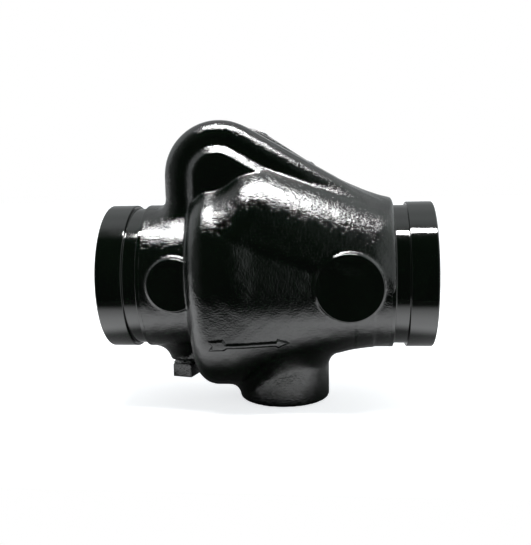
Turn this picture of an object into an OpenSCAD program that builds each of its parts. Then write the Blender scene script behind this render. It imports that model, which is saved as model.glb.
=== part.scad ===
// Swing non-return valve, 3 inch, with grooved ends. All sizes are millimetres.
// The origin is the centre of the inlet face. +X is the way of the flow, +Z is up.
// The hood stands up over the clapper, and the access cover is on the +Y side.

/* [Grooved ends] */
// Length from the inlet face to the outlet face
end_to_end = 198; // [194:1:215]
// Outside diameter of the pipe that the ends match
pipe_od = 88.9; // [88.3:0.1:89.5]
// Diameter of the straight water way
bore_d = 76; // [73:0.5:77.5]
// Width of the machined lip outside each groove
lip_w = 15.9; // [15.1:0.1:16.7]
// Width of the groove that the coupling keys grip
groove_w = 8; // [7.2:0.1:8.7]
// Diameter at the bottom of the groove
groove_d = 84.9; // [84.4:0.1:85.4]

/* [Bowl] */
// Distance from the inlet face to the bowl
bowl_x = 55.5; // [54:0.5:57]
// Length of the straight part of the bowl
bowl_len = 35.5; // [34:0.5:38]
// Radius of the upper part of the bowl
bowl_r = 56.5; // [55.5:0.1:58]
// Height of the centre of the upper part above the flow axis
bowl_rise = 4; // [3:0.1:5]
// Radius of the lower part of the bowl
sump_r = 49; // [47:0.1:51]
// Depth of the centre of the lower part below the flow axis
sump_drop = 19; // [17:0.1:21]
// Rounding of the bowl's rim
rim_round = 12; // [10:0.5:12]
// Wall of the bowl and of the body behind it
bowl_wall = 7; // [6:0.1:8]
// Thickness of the wall that carries the seat ring
seat_wall = 10.5; // [9.5:0.1:11.5]

/* [Dome] */
// Radius of the sloping dome that takes the open clapper
dome_r = 49.3; // [48.8:0.1:51]
// Wall of the dome
dome_wall = 4.5; // [4:0.1:5]
// Slope of the dome's axis
dome_tilt = 19.6; // [18:0.1:21]
// Height of the dome's axis at mid-length, above the flow axis
dome_rise = 20.5; // [19:0.1:22]
// Rounding of the dome's closed end
dome_round = 30; // [24:0.5:34]
// Reach of the dome's closed end behind mid-length
dome_back = 38; // [34:0.5:40]

/* [Hood] */
// Radius of the hood's round head
hood_r = 33.2; // [32.5:0.1:34]
// Height of the centre of the hood's head above the flow axis
hood_rise = 62; // [61:0.5:63]
// Distance of the centre of the hood's head behind the hinge
hood_back = 9; // [8:0.1:10]
// Slope of the hood's back
hood_tilt = 30; // [28:0.5:31]
// Width of the hood over its two flat sides
hood_w = 56; // [55:0.5:60]
// Rounding of the hood's edges
hood_round = 10; // [8:0.1:10.5]
// Width of the band around the raised panel
band_w = 14; // [13:0.1:15]
// Rise of the panel over its band
panel_rise = 4; // [3:0.1:4.5]
// Width of the bevel from the band up to the panel
panel_bevel = 4.7; // [3:0.1:5]
// Wall of the hood's roof
roof_wall = 7; // [6:0.1:7.5]
// Wall of the hood's flat sides
side_wall = 5; // [4.5:0.1:5.5]

/* [Bosses] */
// Radius of the round pad on the inlet neck
inlet_pad_r = 15.7; // [14:0.1:17]
// Distance of that pad's centre from the inlet face
inlet_pad_x = 46.5; // [45:0.5:48]
// Distance of that pad's face from the flow axis
inlet_pad_y = 46; // [45.2:0.1:47]
// Radius of the round pad beside the outlet
outlet_pad_r = 19.6; // [18:0.1:21]
// Distance of that pad's centre from the outlet face
outlet_pad_x = 50.2; // [48:0.5:52]
// Distance of that pad's face from the flow axis
outlet_pad_y = 51; // [50:0.1:53]
// Radius of the drain boss
drain_boss_r = 28; // [26:0.5:30]
// Rounding of the drain boss's lower edge
boss_round = 2; // [1:0.5:5]
// Distance of the drain boss from the inlet face
drain_x = 108; // [106:0.5:110]
// Distance of the drain boss's face below the flow axis
drain_low = 77.4; // [76:0.1:80]
// Tapping radius of the drain port
drain_tap_r = 19.05; // [18:0.05:19.5]
// Depth of the drain port's thread
drain_tap_len = 20; // [18:0.5:21]
// Radius of the small boss under the inlet neck
plug_boss_r = 9.6; // [9:0.1:12]
// Distance of that boss from the inlet face
plug_x = 43.6; // [43:0.1:46]
// Distance of that boss's face below the flow axis
plug_low = 56; // [55:0.5:58]
// Tapping radius in that boss
plug_tap_r = 7.2; // [6.5:0.1:7.8]
// Width of the plug's square head across its flats
plug_head_w = 12.6; // [10:0.1:13]
// Height of the plug's square head
plug_head_h = 8; // [7:0.1:10]
// Turn of the plug's square head
plug_turn = -15; // [-45:1:45]

/* [Seat and clapper] */
// Bore radius of the seat ring
seat_bore_r = 36.5; // [35.5:0.1:37]
// Outer radius of the seat ring
seat_ring_r = 41; // [40.5:0.1:42]
// Height of the raised nose that the facing shuts against
seat_nose = 1; // [0.6:0.1:1.5]
// Distance that the seating plane stands out from the wall
seat_proud = 2; // [1.8:0.1:2.6]
// Hinge axis behind the seating plane
hinge_set = 13; // [12.5:0.1:13.5]
// Hinge axis above the flow axis
hinge_rise = 61; // [60:0.5:62]
// Widest opening of the clapper, in degrees
swing_max = 52; // [48:1:52]
// Outer radius of the clapper disc
disc_r = 41.5; // [41:0.1:42]
// Thickness of the clapper disc's plate
disc_t = 6; // [5:0.1:6.5]
// Thickness of the rubber facing
facing_t = 4.5; // [4:0.1:5]
// Radius of the rubber facing
facing_r = 39.8; // [39.6:0.1:40]
// Radius of the plate that holds the facing
retainer_r = 33; // [30:0.5:34]
// Thickness of that plate
retainer_t = 3.5; // [3:0.1:4]
// Radius of the stud that carries the disc
stud_r = 6; // [5:0.1:6.5]
// Thickness of the clapper arm
arm_t = 8; // [7:0.1:8.5]
// Radius of the arm's eye around the stud
eye_r = 12.5; // [11.5:0.1:14]
// Radius of the arm's hub around the hinge pin
hub_r = 9.5; // [9:0.1:10]
// Length of the arm's hub
hub_len = 28.4; // [27:0.1:28.6]

/* [Hinge pin] */
// Radius of the hinge pin
pin_r = 4.75; // [4.5:0.05:5]
// Outer radius of the bushes
bush_r = 6.5; // [6.2:0.1:7]
// Length of each bush
bush_len = 12; // [10:0.5:13]
// Thickness of the thrust washers
thrust_t = 1.5; // [1.2:0.1:1.6]
// Thickness of the pin's clip
clip_t = 1; // [0.8:0.1:1.2]
// Thickness of the lug that carries the pin
lug_t = 8; // [7:0.1:9]
// Depth of the pin's end in the front boss
pin_seat = 5.7; // [4.5:0.1:6]
// Radius of the pin's head
pin_head_r = 7; // [6.5:0.1:8]
// Thickness of the pin's head
pin_head_t = 3; // [2.5:0.1:4]

/* [Access cover] */
// Clearance of the cover's joint face from the widest point of the bowl
cover_gap = 1.5; // [1:0.1:3]
// Radius of the access opening's round ends
access_r = 20; // [19:0.1:21]
// Length between the centres of the opening's round ends
access_len = 70; // [66:0.5:72]
// Slope of the access opening
access_tilt = 33; // [32:0.5:34]
// Wall of the access opening
access_wall = 7; // [6:0.1:8]
// Width of the joint face around the opening
flange_w = 14; // [13:0.1:14.5]
// Thickness of the body's flange
flange_t = 12; // [11:0.5:14]
// Thickness of the cover's rim
cover_t = 9; // [8:0.5:11]
// Height of the cover's raised panel
cover_rise = 3; // [2:0.5:5]
// Thickness of the cover gasket
gasket_t = 1.5; // [1:0.1:2]
// Number of cover bolts
bolt_n = 8; // [6:1:10]
// Diameter of the cover bolts
bolt_d = 7.9; // [7:0.1:8.2]
// Depth that the bolts reach into the flange
bolt_grip = 10; // [8:0.5:10.5]
// Width of the bolt heads across their flats
bolt_head_w = 12.7; // [12:0.1:13.5]
// Thickness of the bolt heads
bolt_head_t = 5.4; // [4.5:0.1:6]
// Thickness of the washers
washer_t = 1.6; // [1.2:0.1:2]

/* [Hidden] */
$fn = 96;

paint = [0.03, 0.03, 0.035];
bronze = [0.72, 0.53, 0.28];
steel = [0.62, 0.63, 0.65];
rubber = [0.08, 0.08, 0.08];
iron = [0.22, 0.22, 0.23];

// Clearances
slip = 0.05;
loose = 0.2;
hub_play = 0.3;
end_gap = 0.3;
eps = 0.01;
over = 1;
seam = 0.05;

// Grooved ends and water way
neck_r = pipe_od / 2;
groove_r = groove_d / 2;
bore_r = bore_d / 2;
mid_x = end_to_end / 2;
collar_x = end_to_end - lip_w - groove_w;

// Bowl and the taper to the outlet
cavity_x = bowl_x + seat_wall;
bowl_end = bowl_x + bowl_len;
bowl_lean = asin((bowl_r - sump_r) / (bowl_rise + sump_drop));
taper_lap = 9;
taper_inset = 0.4;
taper_x = bowl_end - taper_lap;
waist_len = 13;
taper_end = collar_x - waist_len;
waist_r = neck_r + 0.25;

// Bosses
inlet_pad_rise = 0.5;
outlet_pad_rise = -1;
drain_bore_r = drain_tap_r - 2;
plug_boss_h = 7;
plug_boss_flare = 5;

// Seat and clapper stack, from the seating plane downstream
seat_x = cavity_x + seat_proud;
counterbore_x = bowl_x + 2;
o_groove_w = 2.4;
o_groove_d = 2;
facing_out = 1.5;
disc_back = seat_x + facing_t + disc_t;
stud_boss_t = 2;
stud_boss_r = 10;
eye_x = disc_back + stud_boss_t + loose;
eye_end = eye_x + arm_t;
stud_washer_t = 1.5;
nut_x = eye_end + loose + stud_washer_t;
nut_t = 6;
nut_w = 17;
cotter_r = 1.2;
cotter_x = nut_x + nut_t + cotter_r + end_gap;
stud_end = cotter_x + cotter_r + 1.6;
stud_head_r = stud_r + 4;
stud_head_t = 3;
screw_r = 2.05;
screw_head_r = 4.2;
screw_grip = 4.5;
screw_path_r = retainer_r * 0.72;

// Hinge
hinge_x = seat_x + hinge_set;
hood_x = hinge_x - hood_back;
boss_face = hub_len / 2 + hub_play + thrust_t;
lug_face = boss_face + clip_t;
lug_end = lug_face + lug_t;
clip_in_r = pin_r - 0.75;
clip_w = 3.35;

// Hood section
band_y = hood_w / 2 - panel_rise;
cheek_y = band_y - side_wall;
hood_in_r = hood_r - roof_wall;
panel_r = hood_r - band_w;
leg_len = 32;
back_len = 96;
cheek_len = 56;

// Access opening, in its own frame: X along the slope, Y the rise across it
cover_y = bowl_r + cover_gap;
access_x = hood_x + 3;
access_z = hood_rise - 2;
wall_r = access_r + access_wall;
flange_r = access_r + flange_w;
bolt_path_r = access_r + flange_w / 2;
path_len = 2 * PI * bolt_path_r + 2 * access_len;
tap_r = bolt_d / 2 - 0.55;
bolt_hole_r = bolt_d / 2 + 0.5;
chamfer = 1.5;

// Across-corners radius of a hexagon from its width across flats
function hex_r(w) = w / 2 / cos(30);

// Point at the distance s along a track of radius r whose centres are len apart.
// It starts at the middle of the track's back end.
function track_point(s, r, len) =
    let (quarter = PI * r / 2, turn = 180 / PI / r)
    s < quarter ? [-r * cos(s * turn), r * sin(s * turn)] :
    s < quarter + len ? [s - quarter, r] :
    s < 3 * quarter + len ? [len + r * sin((s - quarter - len) * turn),
        r * cos((s - quarter - len) * turn)] :
    s < 3 * quarter + 2 * len ? [len - (s - 3 * quarter - len), -r] :
    [-r * sin((s - 3 * quarter - 2 * len) * turn),
        -r * cos((s - 3 * quarter - 2 * len) * turn)];

// Cylinder along +X, from x
module x_rod(x, len, r, z = 0) {
    translate([x, 0, z]) rotate([0, 90, 0]) cylinder(r = r, h = len);
}

// Cylinder along +Y, from y
module y_rod(x, y, z, len, r) {
    translate([x, y, z]) rotate([-90, 0, 0]) cylinder(r = r, h = len);
}

// Frustum along +X
module x_cone(x, len, r1, r2, z = 0) {
    translate([x, 0, z]) rotate([0, 90, 0]) cylinder(r1 = r1, r2 = r2, h = len);
}

// Plate in the X-Z plane, extruded from y towards +Y
module side_plate(y, t) {
    translate([0, y + t, 0]) rotate([90, 0, 0]) linear_extrude(height = t) children();
}

// Rectangle whose outer first corner is rounded by q
module rim_profile(r, len, q) {
    square([r - q, len]);
    translate([0, q]) square([r, len - q]);
    intersection() {
        translate([r - q, q]) circle(r = q);
        square([r, len]);
    }
}

// Disc of radius r whose first edge is rounded by q, standing on z = 0
module rimmed_disc(r, len, q) {
    rotate_extrude() rim_profile(r, len, q);
}

// Rounded track outline with its centres len apart
module track(r, len) {
    circle(r = r);
    translate([len, 0]) circle(r = r);
    translate([0, -r]) square([len, 2 * r]);
}

// Children drawn in the access opening's frame, extruded from y towards +Y
module access_frame(y, t) {
    translate([access_x, y + t, access_z]) rotate([90, 0, 0]) rotate([0, 0, -access_tilt])
        linear_extrude(height = t) children();
}

// Children placed at every cover bolt, with +Z of each along +Y of the valve
module at_bolts(y) {
    for (i = [0 : bolt_n - 1]) {
        p = track_point(i * path_len / bolt_n, bolt_path_r, access_len);
        translate([access_x, y, access_z]) rotate([90, 0, 0]) rotate([0, 0, -access_tilt])
            translate([p[0], p[1], 0]) rotate([180, 0, 0]) children();
    }
}

// Children placed at each of the three screws of the facing's plate
module at_screws() {
    for (turn = [0, 120, 240]) rotate([turn, 0, 0]) translate([0, 0, screw_path_r]) children();
}

// Upper and lower circles of the bowl with the flats that join them, shrunk by inset
module bowl_section(inset) {
    r1 = bowl_r - inset;
    r2 = sump_r - inset;
    translate([-bowl_rise, 0]) circle(r = r1);
    translate([sump_drop, 0]) circle(r = r2);
    polygon([
        [-bowl_rise + r1 * sin(bowl_lean), r1 * cos(bowl_lean)],
        [sump_drop + r2 * sin(bowl_lean), r2 * cos(bowl_lean)],
        [sump_drop + r2 * sin(bowl_lean), -r2 * cos(bowl_lean)],
        [-bowl_rise + r1 * sin(bowl_lean), -r1 * cos(bowl_lean)]
    ]);
}

// Rim of one flat, with facets for its rounding, a little inside that of the circles.
// It is drawn in the bowl's frame: X down, Z along the flow.
module flat_rim() {
    q = rim_round;
    r = bowl_r - loose;
    facets = 6;
    translate([-bowl_rise, 0, 0]) rotate([0, 0, -bowl_lean]) rotate([90, 0, 90])
        linear_extrude(height = (bowl_rise + sump_drop) * cos(bowl_lean)) polygon([
            [0, 0],
            for (i = [0 : facets]) [r - q + q * sin(90 * i / facets), q - q * cos(90 * i / facets)],
            [0, q]
        ]);
}

// Straight run of the bowl section along +X
module bowl_run(x, len, inset) {
    translate([x, 0, 0]) rotate([0, 90, 0]) linear_extrude(height = len) bowl_section(inset);
}

// Frustum that carries the sump up to the outlet neck
module sump_taper(inset) {
    run = taper_end - taper_x;
    lift = atan(sump_drop / run);
    translate([taper_x, 0, -sump_drop]) rotate([0, 90 - lift, 0])
        cylinder(r1 = sump_r - inset, r2 = neck_r - inset, h = run / cos(lift));
}

// Sloping cylinder with a rounded closed end, cut off upright at x = end.
// Only the half above its axis is kept.
module dome_form(r, back, round, end) {
    reach = end_to_end - mid_x;
    intersection() {
        translate([mid_x, 0, dome_rise]) rotate([0, 90 + dome_tilt, 0]) intersection() {
            translate([0, 0, -back]) rimmed_disc(r, back + reach, round);
            translate([-2 * r, -r - over, -back - over])
                cube([2 * r, 2 * r + 2 * over, back + reach + 2 * over]);
        }
        translate([0, -r - over, -r]) cube([end, 2 * r + 2 * over, 3 * r]);
    }
}

// Half of the hood's section, drawn in by inset: distance from its centre line, then width
module hood_section(inset = 0) {
    half = hood_w / 2 - inset;
    near = band_y - inset;
    r = hood_r - inset;
    q = hood_round;
    translate([0, -near]) square([r - q, half + near]);
    translate([0, -near + q]) square([r, half + near - 2 * q]);
    translate([r - q, half - q]) circle(r = q);
    translate([r - q, -near + q]) circle(r = q);
    polygon([
        [0, -half],
        [panel_r - panel_bevel - inset, -half],
        [panel_r - inset, -near],
        [panel_r - inset, 0],
        [0, 0]
    ]);
}

// Section of the hood carried down its leg, round its head and along its back.
// The leg and the back start inside the head and are drawn in by the seam.
module hood_sweep() {
    translate([hood_x, 0, hood_rise]) {
        rotate([90, 0, 0]) rotate([0, 0, 90 - hood_tilt])
            rotate_extrude(angle = 90 + hood_tilt) mirror([0, 1]) hood_section();
        translate([0, 0, -leg_len]) linear_extrude(height = leg_len + over)
            mirror([1, 0]) hood_section(seam);
        rotate([0, 90 + hood_tilt, 0]) translate([0, 0, -over])
            linear_extrude(height = back_len + over) mirror([1, 0]) hood_section(seam);
    }
}

// Slab that closes the panel down to the bowl and the dome
module hood_web() {
    side_plate(-hood_w / 2 + 2 * seam, hood_w - 4 * seam) polygon([
        [hood_x - panel_r / 2, hood_rise - leg_len],
        [hood_x - panel_r / 2, hood_rise],
        [hood_x, hood_rise + panel_r / 2],
        [mid_x + dome_back, dome_rise + panel_r],
        [mid_x + dome_back, dome_rise - panel_r / 2]
    ]);
}

// Inside of the hood
module hood_space() {
    translate([hood_x, -cheek_y, hood_rise]) rotate([-90, 0, 0]) intersection() {
        cylinder(r = hood_in_r, h = 2 * cheek_y);
        translate([-hood_in_r, -hood_in_r - over, 0])
            cube([2 * hood_in_r, hood_in_r + over + hood_rise - neck_r - bowl_wall, 2 * cheek_y]);
    }
    translate([hood_x, -cheek_y, hood_rise]) rotate([0, hood_tilt, 0])
        translate([0, 0, -hood_in_r / 2]) cube([cheek_len, 2 * cheek_y, 1.5 * hood_in_r]);
}

// Outside of the grooved ends and necks
module necks() {
    x_rod(0, lip_w, neck_r);
    x_rod(lip_w - eps, groove_w + 2 * eps, groove_r);
    x_rod(lip_w + groove_w, bowl_x - lip_w - groove_w + rim_round, neck_r);
    x_rod(taper_end - over, collar_x - taper_end + over, waist_r);
    x_rod(collar_x - eps, groove_w + 2 * eps, groove_r);
    x_rod(end_to_end - lip_w, lip_w, neck_r);
}

// Outside of the bowl with its rounded rim
module bowl() {
    translate([bowl_x, 0, 0]) rotate([0, 90, 0]) {
        translate([-bowl_rise, 0, 0]) rimmed_disc(bowl_r, bowl_len, rim_round);
        translate([sump_drop, 0, 0]) rimmed_disc(sump_r, bowl_len, rim_round);
        flat_rim();
        mirror([0, 1, 0]) flat_rim();
    }
    bowl_run(bowl_x + rim_round, bowl_len - rim_round, 0);
    x_cone(taper_x, taper_end - taper_x, bowl_r - taper_inset, neck_r);
    sump_taper(0);
}

// Bosses on the outside of the casting
module bosses() {
    y_rod(inlet_pad_x, -inlet_pad_y, inlet_pad_rise, inlet_pad_y, inlet_pad_r);
    y_rod(end_to_end - outlet_pad_x, -outlet_pad_y, outlet_pad_rise, outlet_pad_y, outlet_pad_r);
    translate([drain_x, 0, -drain_low])
        rimmed_disc(drain_boss_r, drain_low - sump_drop, boss_round);
    translate([plug_x, 0, -plug_low]) {
        cylinder(r = plug_boss_r, h = plug_low - neck_r / 2);
        translate([0, 0, plug_boss_h]) cylinder(r1 = plug_boss_r,
            r2 = plug_boss_r + plug_boss_flare, h = plug_low - plug_boss_h - neck_r / 2);
    }
}

// Wall and flange around the access opening
module access_flange() {
    access_frame(dome_rise, cover_y - flange_t - dome_rise + eps) track(wall_r, access_len);
    access_frame(cover_y - flange_t, flange_t) track(flange_r, access_len);
}

// Water way, chamber and pockets inside the casting
module water_space() {
    x_rod(-over, cavity_x + 2 * over, bore_r);
    bowl_run(cavity_x, bowl_end - cavity_x, bowl_wall);
    x_cone(taper_x, taper_end - taper_x, bowl_r - bowl_wall, bore_r);
    sump_taper(bowl_wall);
    x_rod(taper_end - over, end_to_end - taper_end + 2 * over, bore_r);
    hood_space();
    access_frame(0, cover_y + over) track(access_r, access_len);
    translate([drain_x, 0, -drain_low - over])
        cylinder(r = drain_tap_r, h = drain_tap_len + over);
    translate([drain_x, 0, -drain_low]) cylinder(r = drain_bore_r, h = drain_low);
    translate([plug_x, 0, -plug_low - over]) cylinder(r = plug_tap_r, h = plug_low);
    x_rod(counterbore_x, seat_wall, seat_ring_r + slip);
    at_bolts(cover_y - bolt_grip - end_gap)
        cylinder(r = tap_r, h = bolt_grip + over);
}

// Lug and boss inside the hood that carry the hinge pin
module pin_lugs() {
    difference() {
        union() {
            y_rod(hinge_x, -cheek_y - over, hinge_rise, cheek_y + over - boss_face, hub_r);
            y_rod(hinge_x, lug_face, hinge_rise, lug_t, hub_r);
            translate([hinge_x - hub_r, lug_face, hinge_rise])
                cube([2 * hub_r, lug_t, hood_in_r - over]);
        }
        y_rod(hinge_x, -boss_face - pin_seat - end_gap, hinge_rise, hood_w, pin_r + slip);
    }
}

module body() {
    color(paint) union() {
        difference() {
            union() {
                necks();
                bowl();
                dome_form(dome_r, dome_back, dome_round, collar_x);
                hood_sweep();
                hood_web();
                bosses();
                access_flange();
            }
            water_space();
            dome_form(dome_r - dome_wall, dome_back - dome_wall,
                dome_round - dome_wall, taper_end);
            y_rod(hinge_x, -boss_face - pin_seat - end_gap, hinge_rise, pin_seat + over, pin_r + slip);
        }
        pin_lugs();
    }
}

// Seat ring: in the counterbore, with a raised nose and a groove for its seal
module seat_ring() {
    body_end = seat_x - seat_nose;
    nose_r = (seat_bore_r + seat_ring_r) / 2 + 1;
    color(bronze) difference() {
        union() {
            x_rod(counterbore_x, body_end - counterbore_x, seat_ring_r);
            x_rod(body_end - eps, seat_nose + eps, nose_r);
        }
        x_rod(counterbore_x - over, seat_x - counterbore_x + 2 * over, seat_bore_r);
        translate([counterbore_x + o_groove_d, 0, 0]) rotate([0, 90, 0]) difference() {
            cylinder(r = seat_ring_r + over, h = o_groove_w);
            translate([0, 0, -over])
                cylinder(r = seat_ring_r - o_groove_d, h = o_groove_w + 2 * over);
        }
    }
}

module seat_o_ring() {
    cord_r = o_groove_d / 2;
    color(rubber) translate([counterbore_x + o_groove_d + o_groove_w / 2, 0, 0])
        rotate([0, 90, 0]) rotate_extrude() translate([seat_ring_r - cord_r, 0])
            circle(r = cord_r - slip / 2, $fn = 32);
}

module hinge_pin() {
    end = -boss_face - pin_seat;
    color(steel) difference() {
        union() {
            y_rod(hinge_x, end, hinge_rise, lug_end - end + eps, pin_r);
            y_rod(hinge_x, lug_end, hinge_rise, pin_head_t, pin_head_r);
        }
        translate([hinge_x, boss_face, hinge_rise]) rotate([-90, 0, 0]) difference() {
            cylinder(r = pin_r + over, h = clip_t);
            translate([0, 0, -over]) cylinder(r = clip_in_r - slip, h = clip_t + 2 * over);
        }
    }
}

module pin_clip() {
    color(steel) translate([hinge_x, boss_face, hinge_rise]) rotate([-90, 0, 0]) difference() {
        cylinder(r = clip_in_r + clip_w, h = clip_t);
        translate([0, 0, -over]) cylinder(r = clip_in_r, h = clip_t + 2 * over);
        translate([0, -pin_r / 2, -over]) cube([2 * pin_r, pin_r, clip_t + 2 * over]);
    }
}

module thrust_washer(y) {
    color(bronze) difference() {
        y_rod(hinge_x, y, hinge_rise, thrust_t, hub_r - hub_play);
        y_rod(hinge_x, y - over, hinge_rise, thrust_t + 2 * over, pin_r + slip);
    }
}

module thrust_washer_front() {
    thrust_washer(-boss_face);
}

module thrust_washer_rear() {
    thrust_washer(boss_face - thrust_t);
}

module bush(y) {
    color(bronze) difference() {
        y_rod(hinge_x, y, hinge_rise, bush_len, bush_r);
        y_rod(hinge_x, y - over, hinge_rise, bush_len + 2 * over, pin_r + slip);
    }
}

module bush_front() {
    bush(-hub_len / 2);
}

module bush_rear() {
    bush(hub_len / 2 - bush_len);
}

// Arm: eye on the stud, web that widens to the hub, back rib and stop heel
module clapper_arm() {
    half = hub_len / 2;
    stop_gap = 0.5;
    roof = hood_in_r - hood_back * sin(hood_tilt)
        - (hinge_rise - hood_rise) * cos(hood_tilt);
    heel = roof - stop_gap;
    heel_half = 3;
    heel_at = 90 - hood_tilt - swing_max;
    rib_half = 2.5;
    rib_h = 3.5;
    rib_start = eye_r + 3;
    color(iron) difference() {
        union() {
            x_rod(eye_x, arm_t, eye_r);
            translate([eye_x, 0, 0]) rotate([90, 0, 90]) linear_extrude(height = arm_t)
                polygon([
                    [-eye_r, 0],
                    [-half, hinge_rise - hub_r / 2],
                    [-half, hinge_rise],
                    [half, hinge_rise],
                    [half, hinge_rise - hub_r / 2],
                    [eye_r, 0]
                ]);
            y_rod(hinge_x, -half, hinge_rise, hub_len, hub_r);
            side_plate(-rib_half, 2 * rib_half) polygon([
                [eye_end - over, rib_start],
                [eye_end + rib_h, rib_start + 2.5 * rib_h],
                [eye_end + rib_h, hinge_rise - hub_r],
                [hinge_x + hub_r / 2, hinge_rise],
                [eye_end - over, hinge_rise]
            ]);
            translate([hinge_x, -2 * heel_half, hinge_rise]) rotate([0, -heel_at, 0])
                translate([0, 0, -heel_half]) cube([heel, 4 * heel_half, 2 * heel_half]);
        }
        x_rod(eye_x - over, arm_t + 2 * over, stud_r + slip);
        y_rod(hinge_x, -half - over, hinge_rise, hub_len + 2 * over, bush_r + slip);
        translate([eye_end, -eye_r - over, -eye_r]) cube([arm_t, 2 * eye_r + 2 * over, 2 * eye_r]);
    }
}

// Disc: plate with a cup rim for the facing, a sloped back edge and a boss for the stud
module clapper_disc() {
    rim_x = seat_x + facing_out;
    plate_x = seat_x + facing_t;
    slope_w = 5;
    color(iron) difference() {
        union() {
            x_rod(rim_x, disc_back - rim_x - chamfer, disc_r);
            x_cone(disc_back - chamfer - eps, chamfer + eps, disc_r, disc_r - slope_w);
            x_rod(disc_back - eps, stud_boss_t + eps, stud_boss_r);
        }
        x_rod(rim_x - over, plate_x - rim_x + over, facing_r + slip);
        x_rod(plate_x - over, disc_back + stud_boss_t - plate_x + 2 * over, stud_r + slip);
        at_screws() x_rod(plate_x - over, screw_grip + 2 * end_gap + over, screw_r + slip);
    }
}

module disc_stud() {
    color(steel) difference() {
        union() {
            x_rod(seat_x + facing_t - eps, stud_end - seat_x - facing_t + eps, stud_r);
            x_rod(seat_x + facing_t - stud_head_t, stud_head_t, stud_head_r);
        }
        translate([cotter_x, 0, -stud_r - over])
            cylinder(r = cotter_r + slip, h = 2 * stud_r + 2 * over);
    }
}

module disc_facing() {
    color(rubber) difference() {
        x_rod(seat_x, facing_t, facing_r);
        x_rod(seat_x + facing_t - stud_head_t - loose, stud_head_t + over, stud_head_r + loose);
        at_screws() x_rod(seat_x - over, facing_t + 2 * over, screw_r + 3 * loose);
    }
}

module facing_retainer() {
    color(bronze) difference() {
        union() {
            x_cone(seat_x - retainer_t, chamfer, retainer_r - chamfer, retainer_r);
            x_rod(seat_x - retainer_t + chamfer - eps, retainer_t - chamfer + eps, retainer_r);
        }
        at_screws() x_rod(seat_x - retainer_t - over, retainer_t + 2 * over, screw_r + 3 * loose);
    }
}

module retainer_screws() {
    under_head = seat_x - retainer_t;
    head_t = 2.4;
    slot_w = 1.2;
    color(steel) at_screws() difference() {
        union() {
            x_rod(under_head - over, retainer_t + facing_t + screw_grip + over, screw_r);
            x_cone(under_head - head_t, head_t, screw_head_r - slot_w / 2, screw_head_r);
        }
        translate([under_head - head_t - over, -slot_w / 2, -screw_head_r - over])
            cube([slot_w + over, slot_w, 2 * screw_head_r + 2 * over]);
    }
}

module stud_washer() {
    color(steel) difference() {
        x_rod(eye_end + loose, stud_washer_t, eye_r - 1);
        x_rod(eye_end, stud_washer_t + 2 * over, stud_r + slip);
    }
}

module stud_nut() {
    color(steel) difference() {
        translate([nut_x, 0, 0]) rotate([0, 90, 0])
            cylinder(r = hex_r(nut_w), h = nut_t, $fn = 6);
        x_rod(nut_x - over, nut_t + 2 * over, stud_r + slip);
    }
}

// Cotter pin: leg through the stud, with its eye above
module cotter_pin() {
    reach = stud_r + 3;
    eye_out_r = 3.4;
    eye_in_r = 1.4;
    color(steel) translate([cotter_x, 0, 0]) {
        translate([0, 0, -reach]) cylinder(r = cotter_r, h = 2 * reach);
        translate([-cotter_r, 0, reach + (eye_out_r + eye_in_r) / 2 - eps]) rotate([0, 90, 0])
            difference() {
                cylinder(r = eye_out_r, h = 2 * cotter_r);
                translate([0, 0, -over]) cylinder(r = eye_in_r, h = 2 * cotter_r + 2 * over);
            }
    }
}

// Cover: flat rim on the gasket, raised panel and rounded edge
module access_cover() {
    y = cover_y + gasket_t;
    color(paint) difference() {
        union() {
            access_frame(y, cover_t - chamfer) track(flange_r, access_len);
            access_frame(y + cover_t - chamfer - eps, chamfer + eps)
                track(flange_r - chamfer, access_len);
            access_frame(y + cover_t - eps, cover_rise + eps)
                track(access_r - chamfer, access_len);
        }
        at_bolts(y - over) cylinder(r = bolt_hole_r, h = cover_t + 2 * over);
    }
}

module cover_gasket() {
    color(rubber) difference() {
        access_frame(cover_y, gasket_t) difference() {
            track(flange_r - loose, access_len);
            track(access_r + loose, access_len);
        }
        at_bolts(cover_y - over) cylinder(r = bolt_hole_r, h = gasket_t + 2 * over);
    }
}

module cover_bolts() {
    top = cover_y + gasket_t + cover_t + washer_t;
    grip = top - cover_y + bolt_grip;
    color(steel) at_bolts(cover_y - bolt_grip) {
        cylinder(r = tap_r - slip, h = grip + eps);
        translate([0, 0, grip]) cylinder(r = hex_r(bolt_head_w), h = bolt_head_t, $fn = 6);
    }
}

module cover_washers() {
    color(steel) at_bolts(cover_y + gasket_t + cover_t) difference() {
        cylinder(r = bolt_d, h = washer_t);
        translate([0, 0, -over]) cylinder(r = bolt_d / 2 + 0.2, h = washer_t + 2 * over);
    }
}

// Square-head plug screwed up into the small boss under the inlet neck
module pipe_plug() {
    collar = 0.8;
    reach_in = 6;
    color(paint) translate([plug_x, 0, -plug_low]) {
        cylinder(r = plug_tap_r - slip, h = plug_low - neck_r + reach_in);
        translate([0, 0, -collar]) cylinder(r = plug_tap_r + collar, h = collar);
        rotate([0, 0, plug_turn]) translate([-plug_head_w / 2, -plug_head_w / 2, -collar - plug_head_h])
            cube([plug_head_w, plug_head_w, plug_head_h + eps]);
    }
}

body();
seat_ring();
seat_o_ring();
hinge_pin();
pin_clip();
thrust_washer_front();
thrust_washer_rear();
bush_front();
bush_rear();
clapper_arm();
clapper_disc();
disc_stud();
disc_facing();
facing_retainer();
retainer_screws();
stud_washer();
stud_nut();
cotter_pin();
access_cover();
cover_gasket();
cover_bolts();
cover_washers();
pipe_plug();
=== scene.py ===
"""Swing non-return valve, 3 inch, with grooved ends: the finish of every piece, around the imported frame.

Shapes are worked out in millimetres in the row frame and put into meshes in metres.
+X is the way of the flow, +Z is up, and the access cover is on the +Y side.
"""
import math

import bmesh
import bpy
import numpy as np
from mathutils import Matrix, Vector


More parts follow.
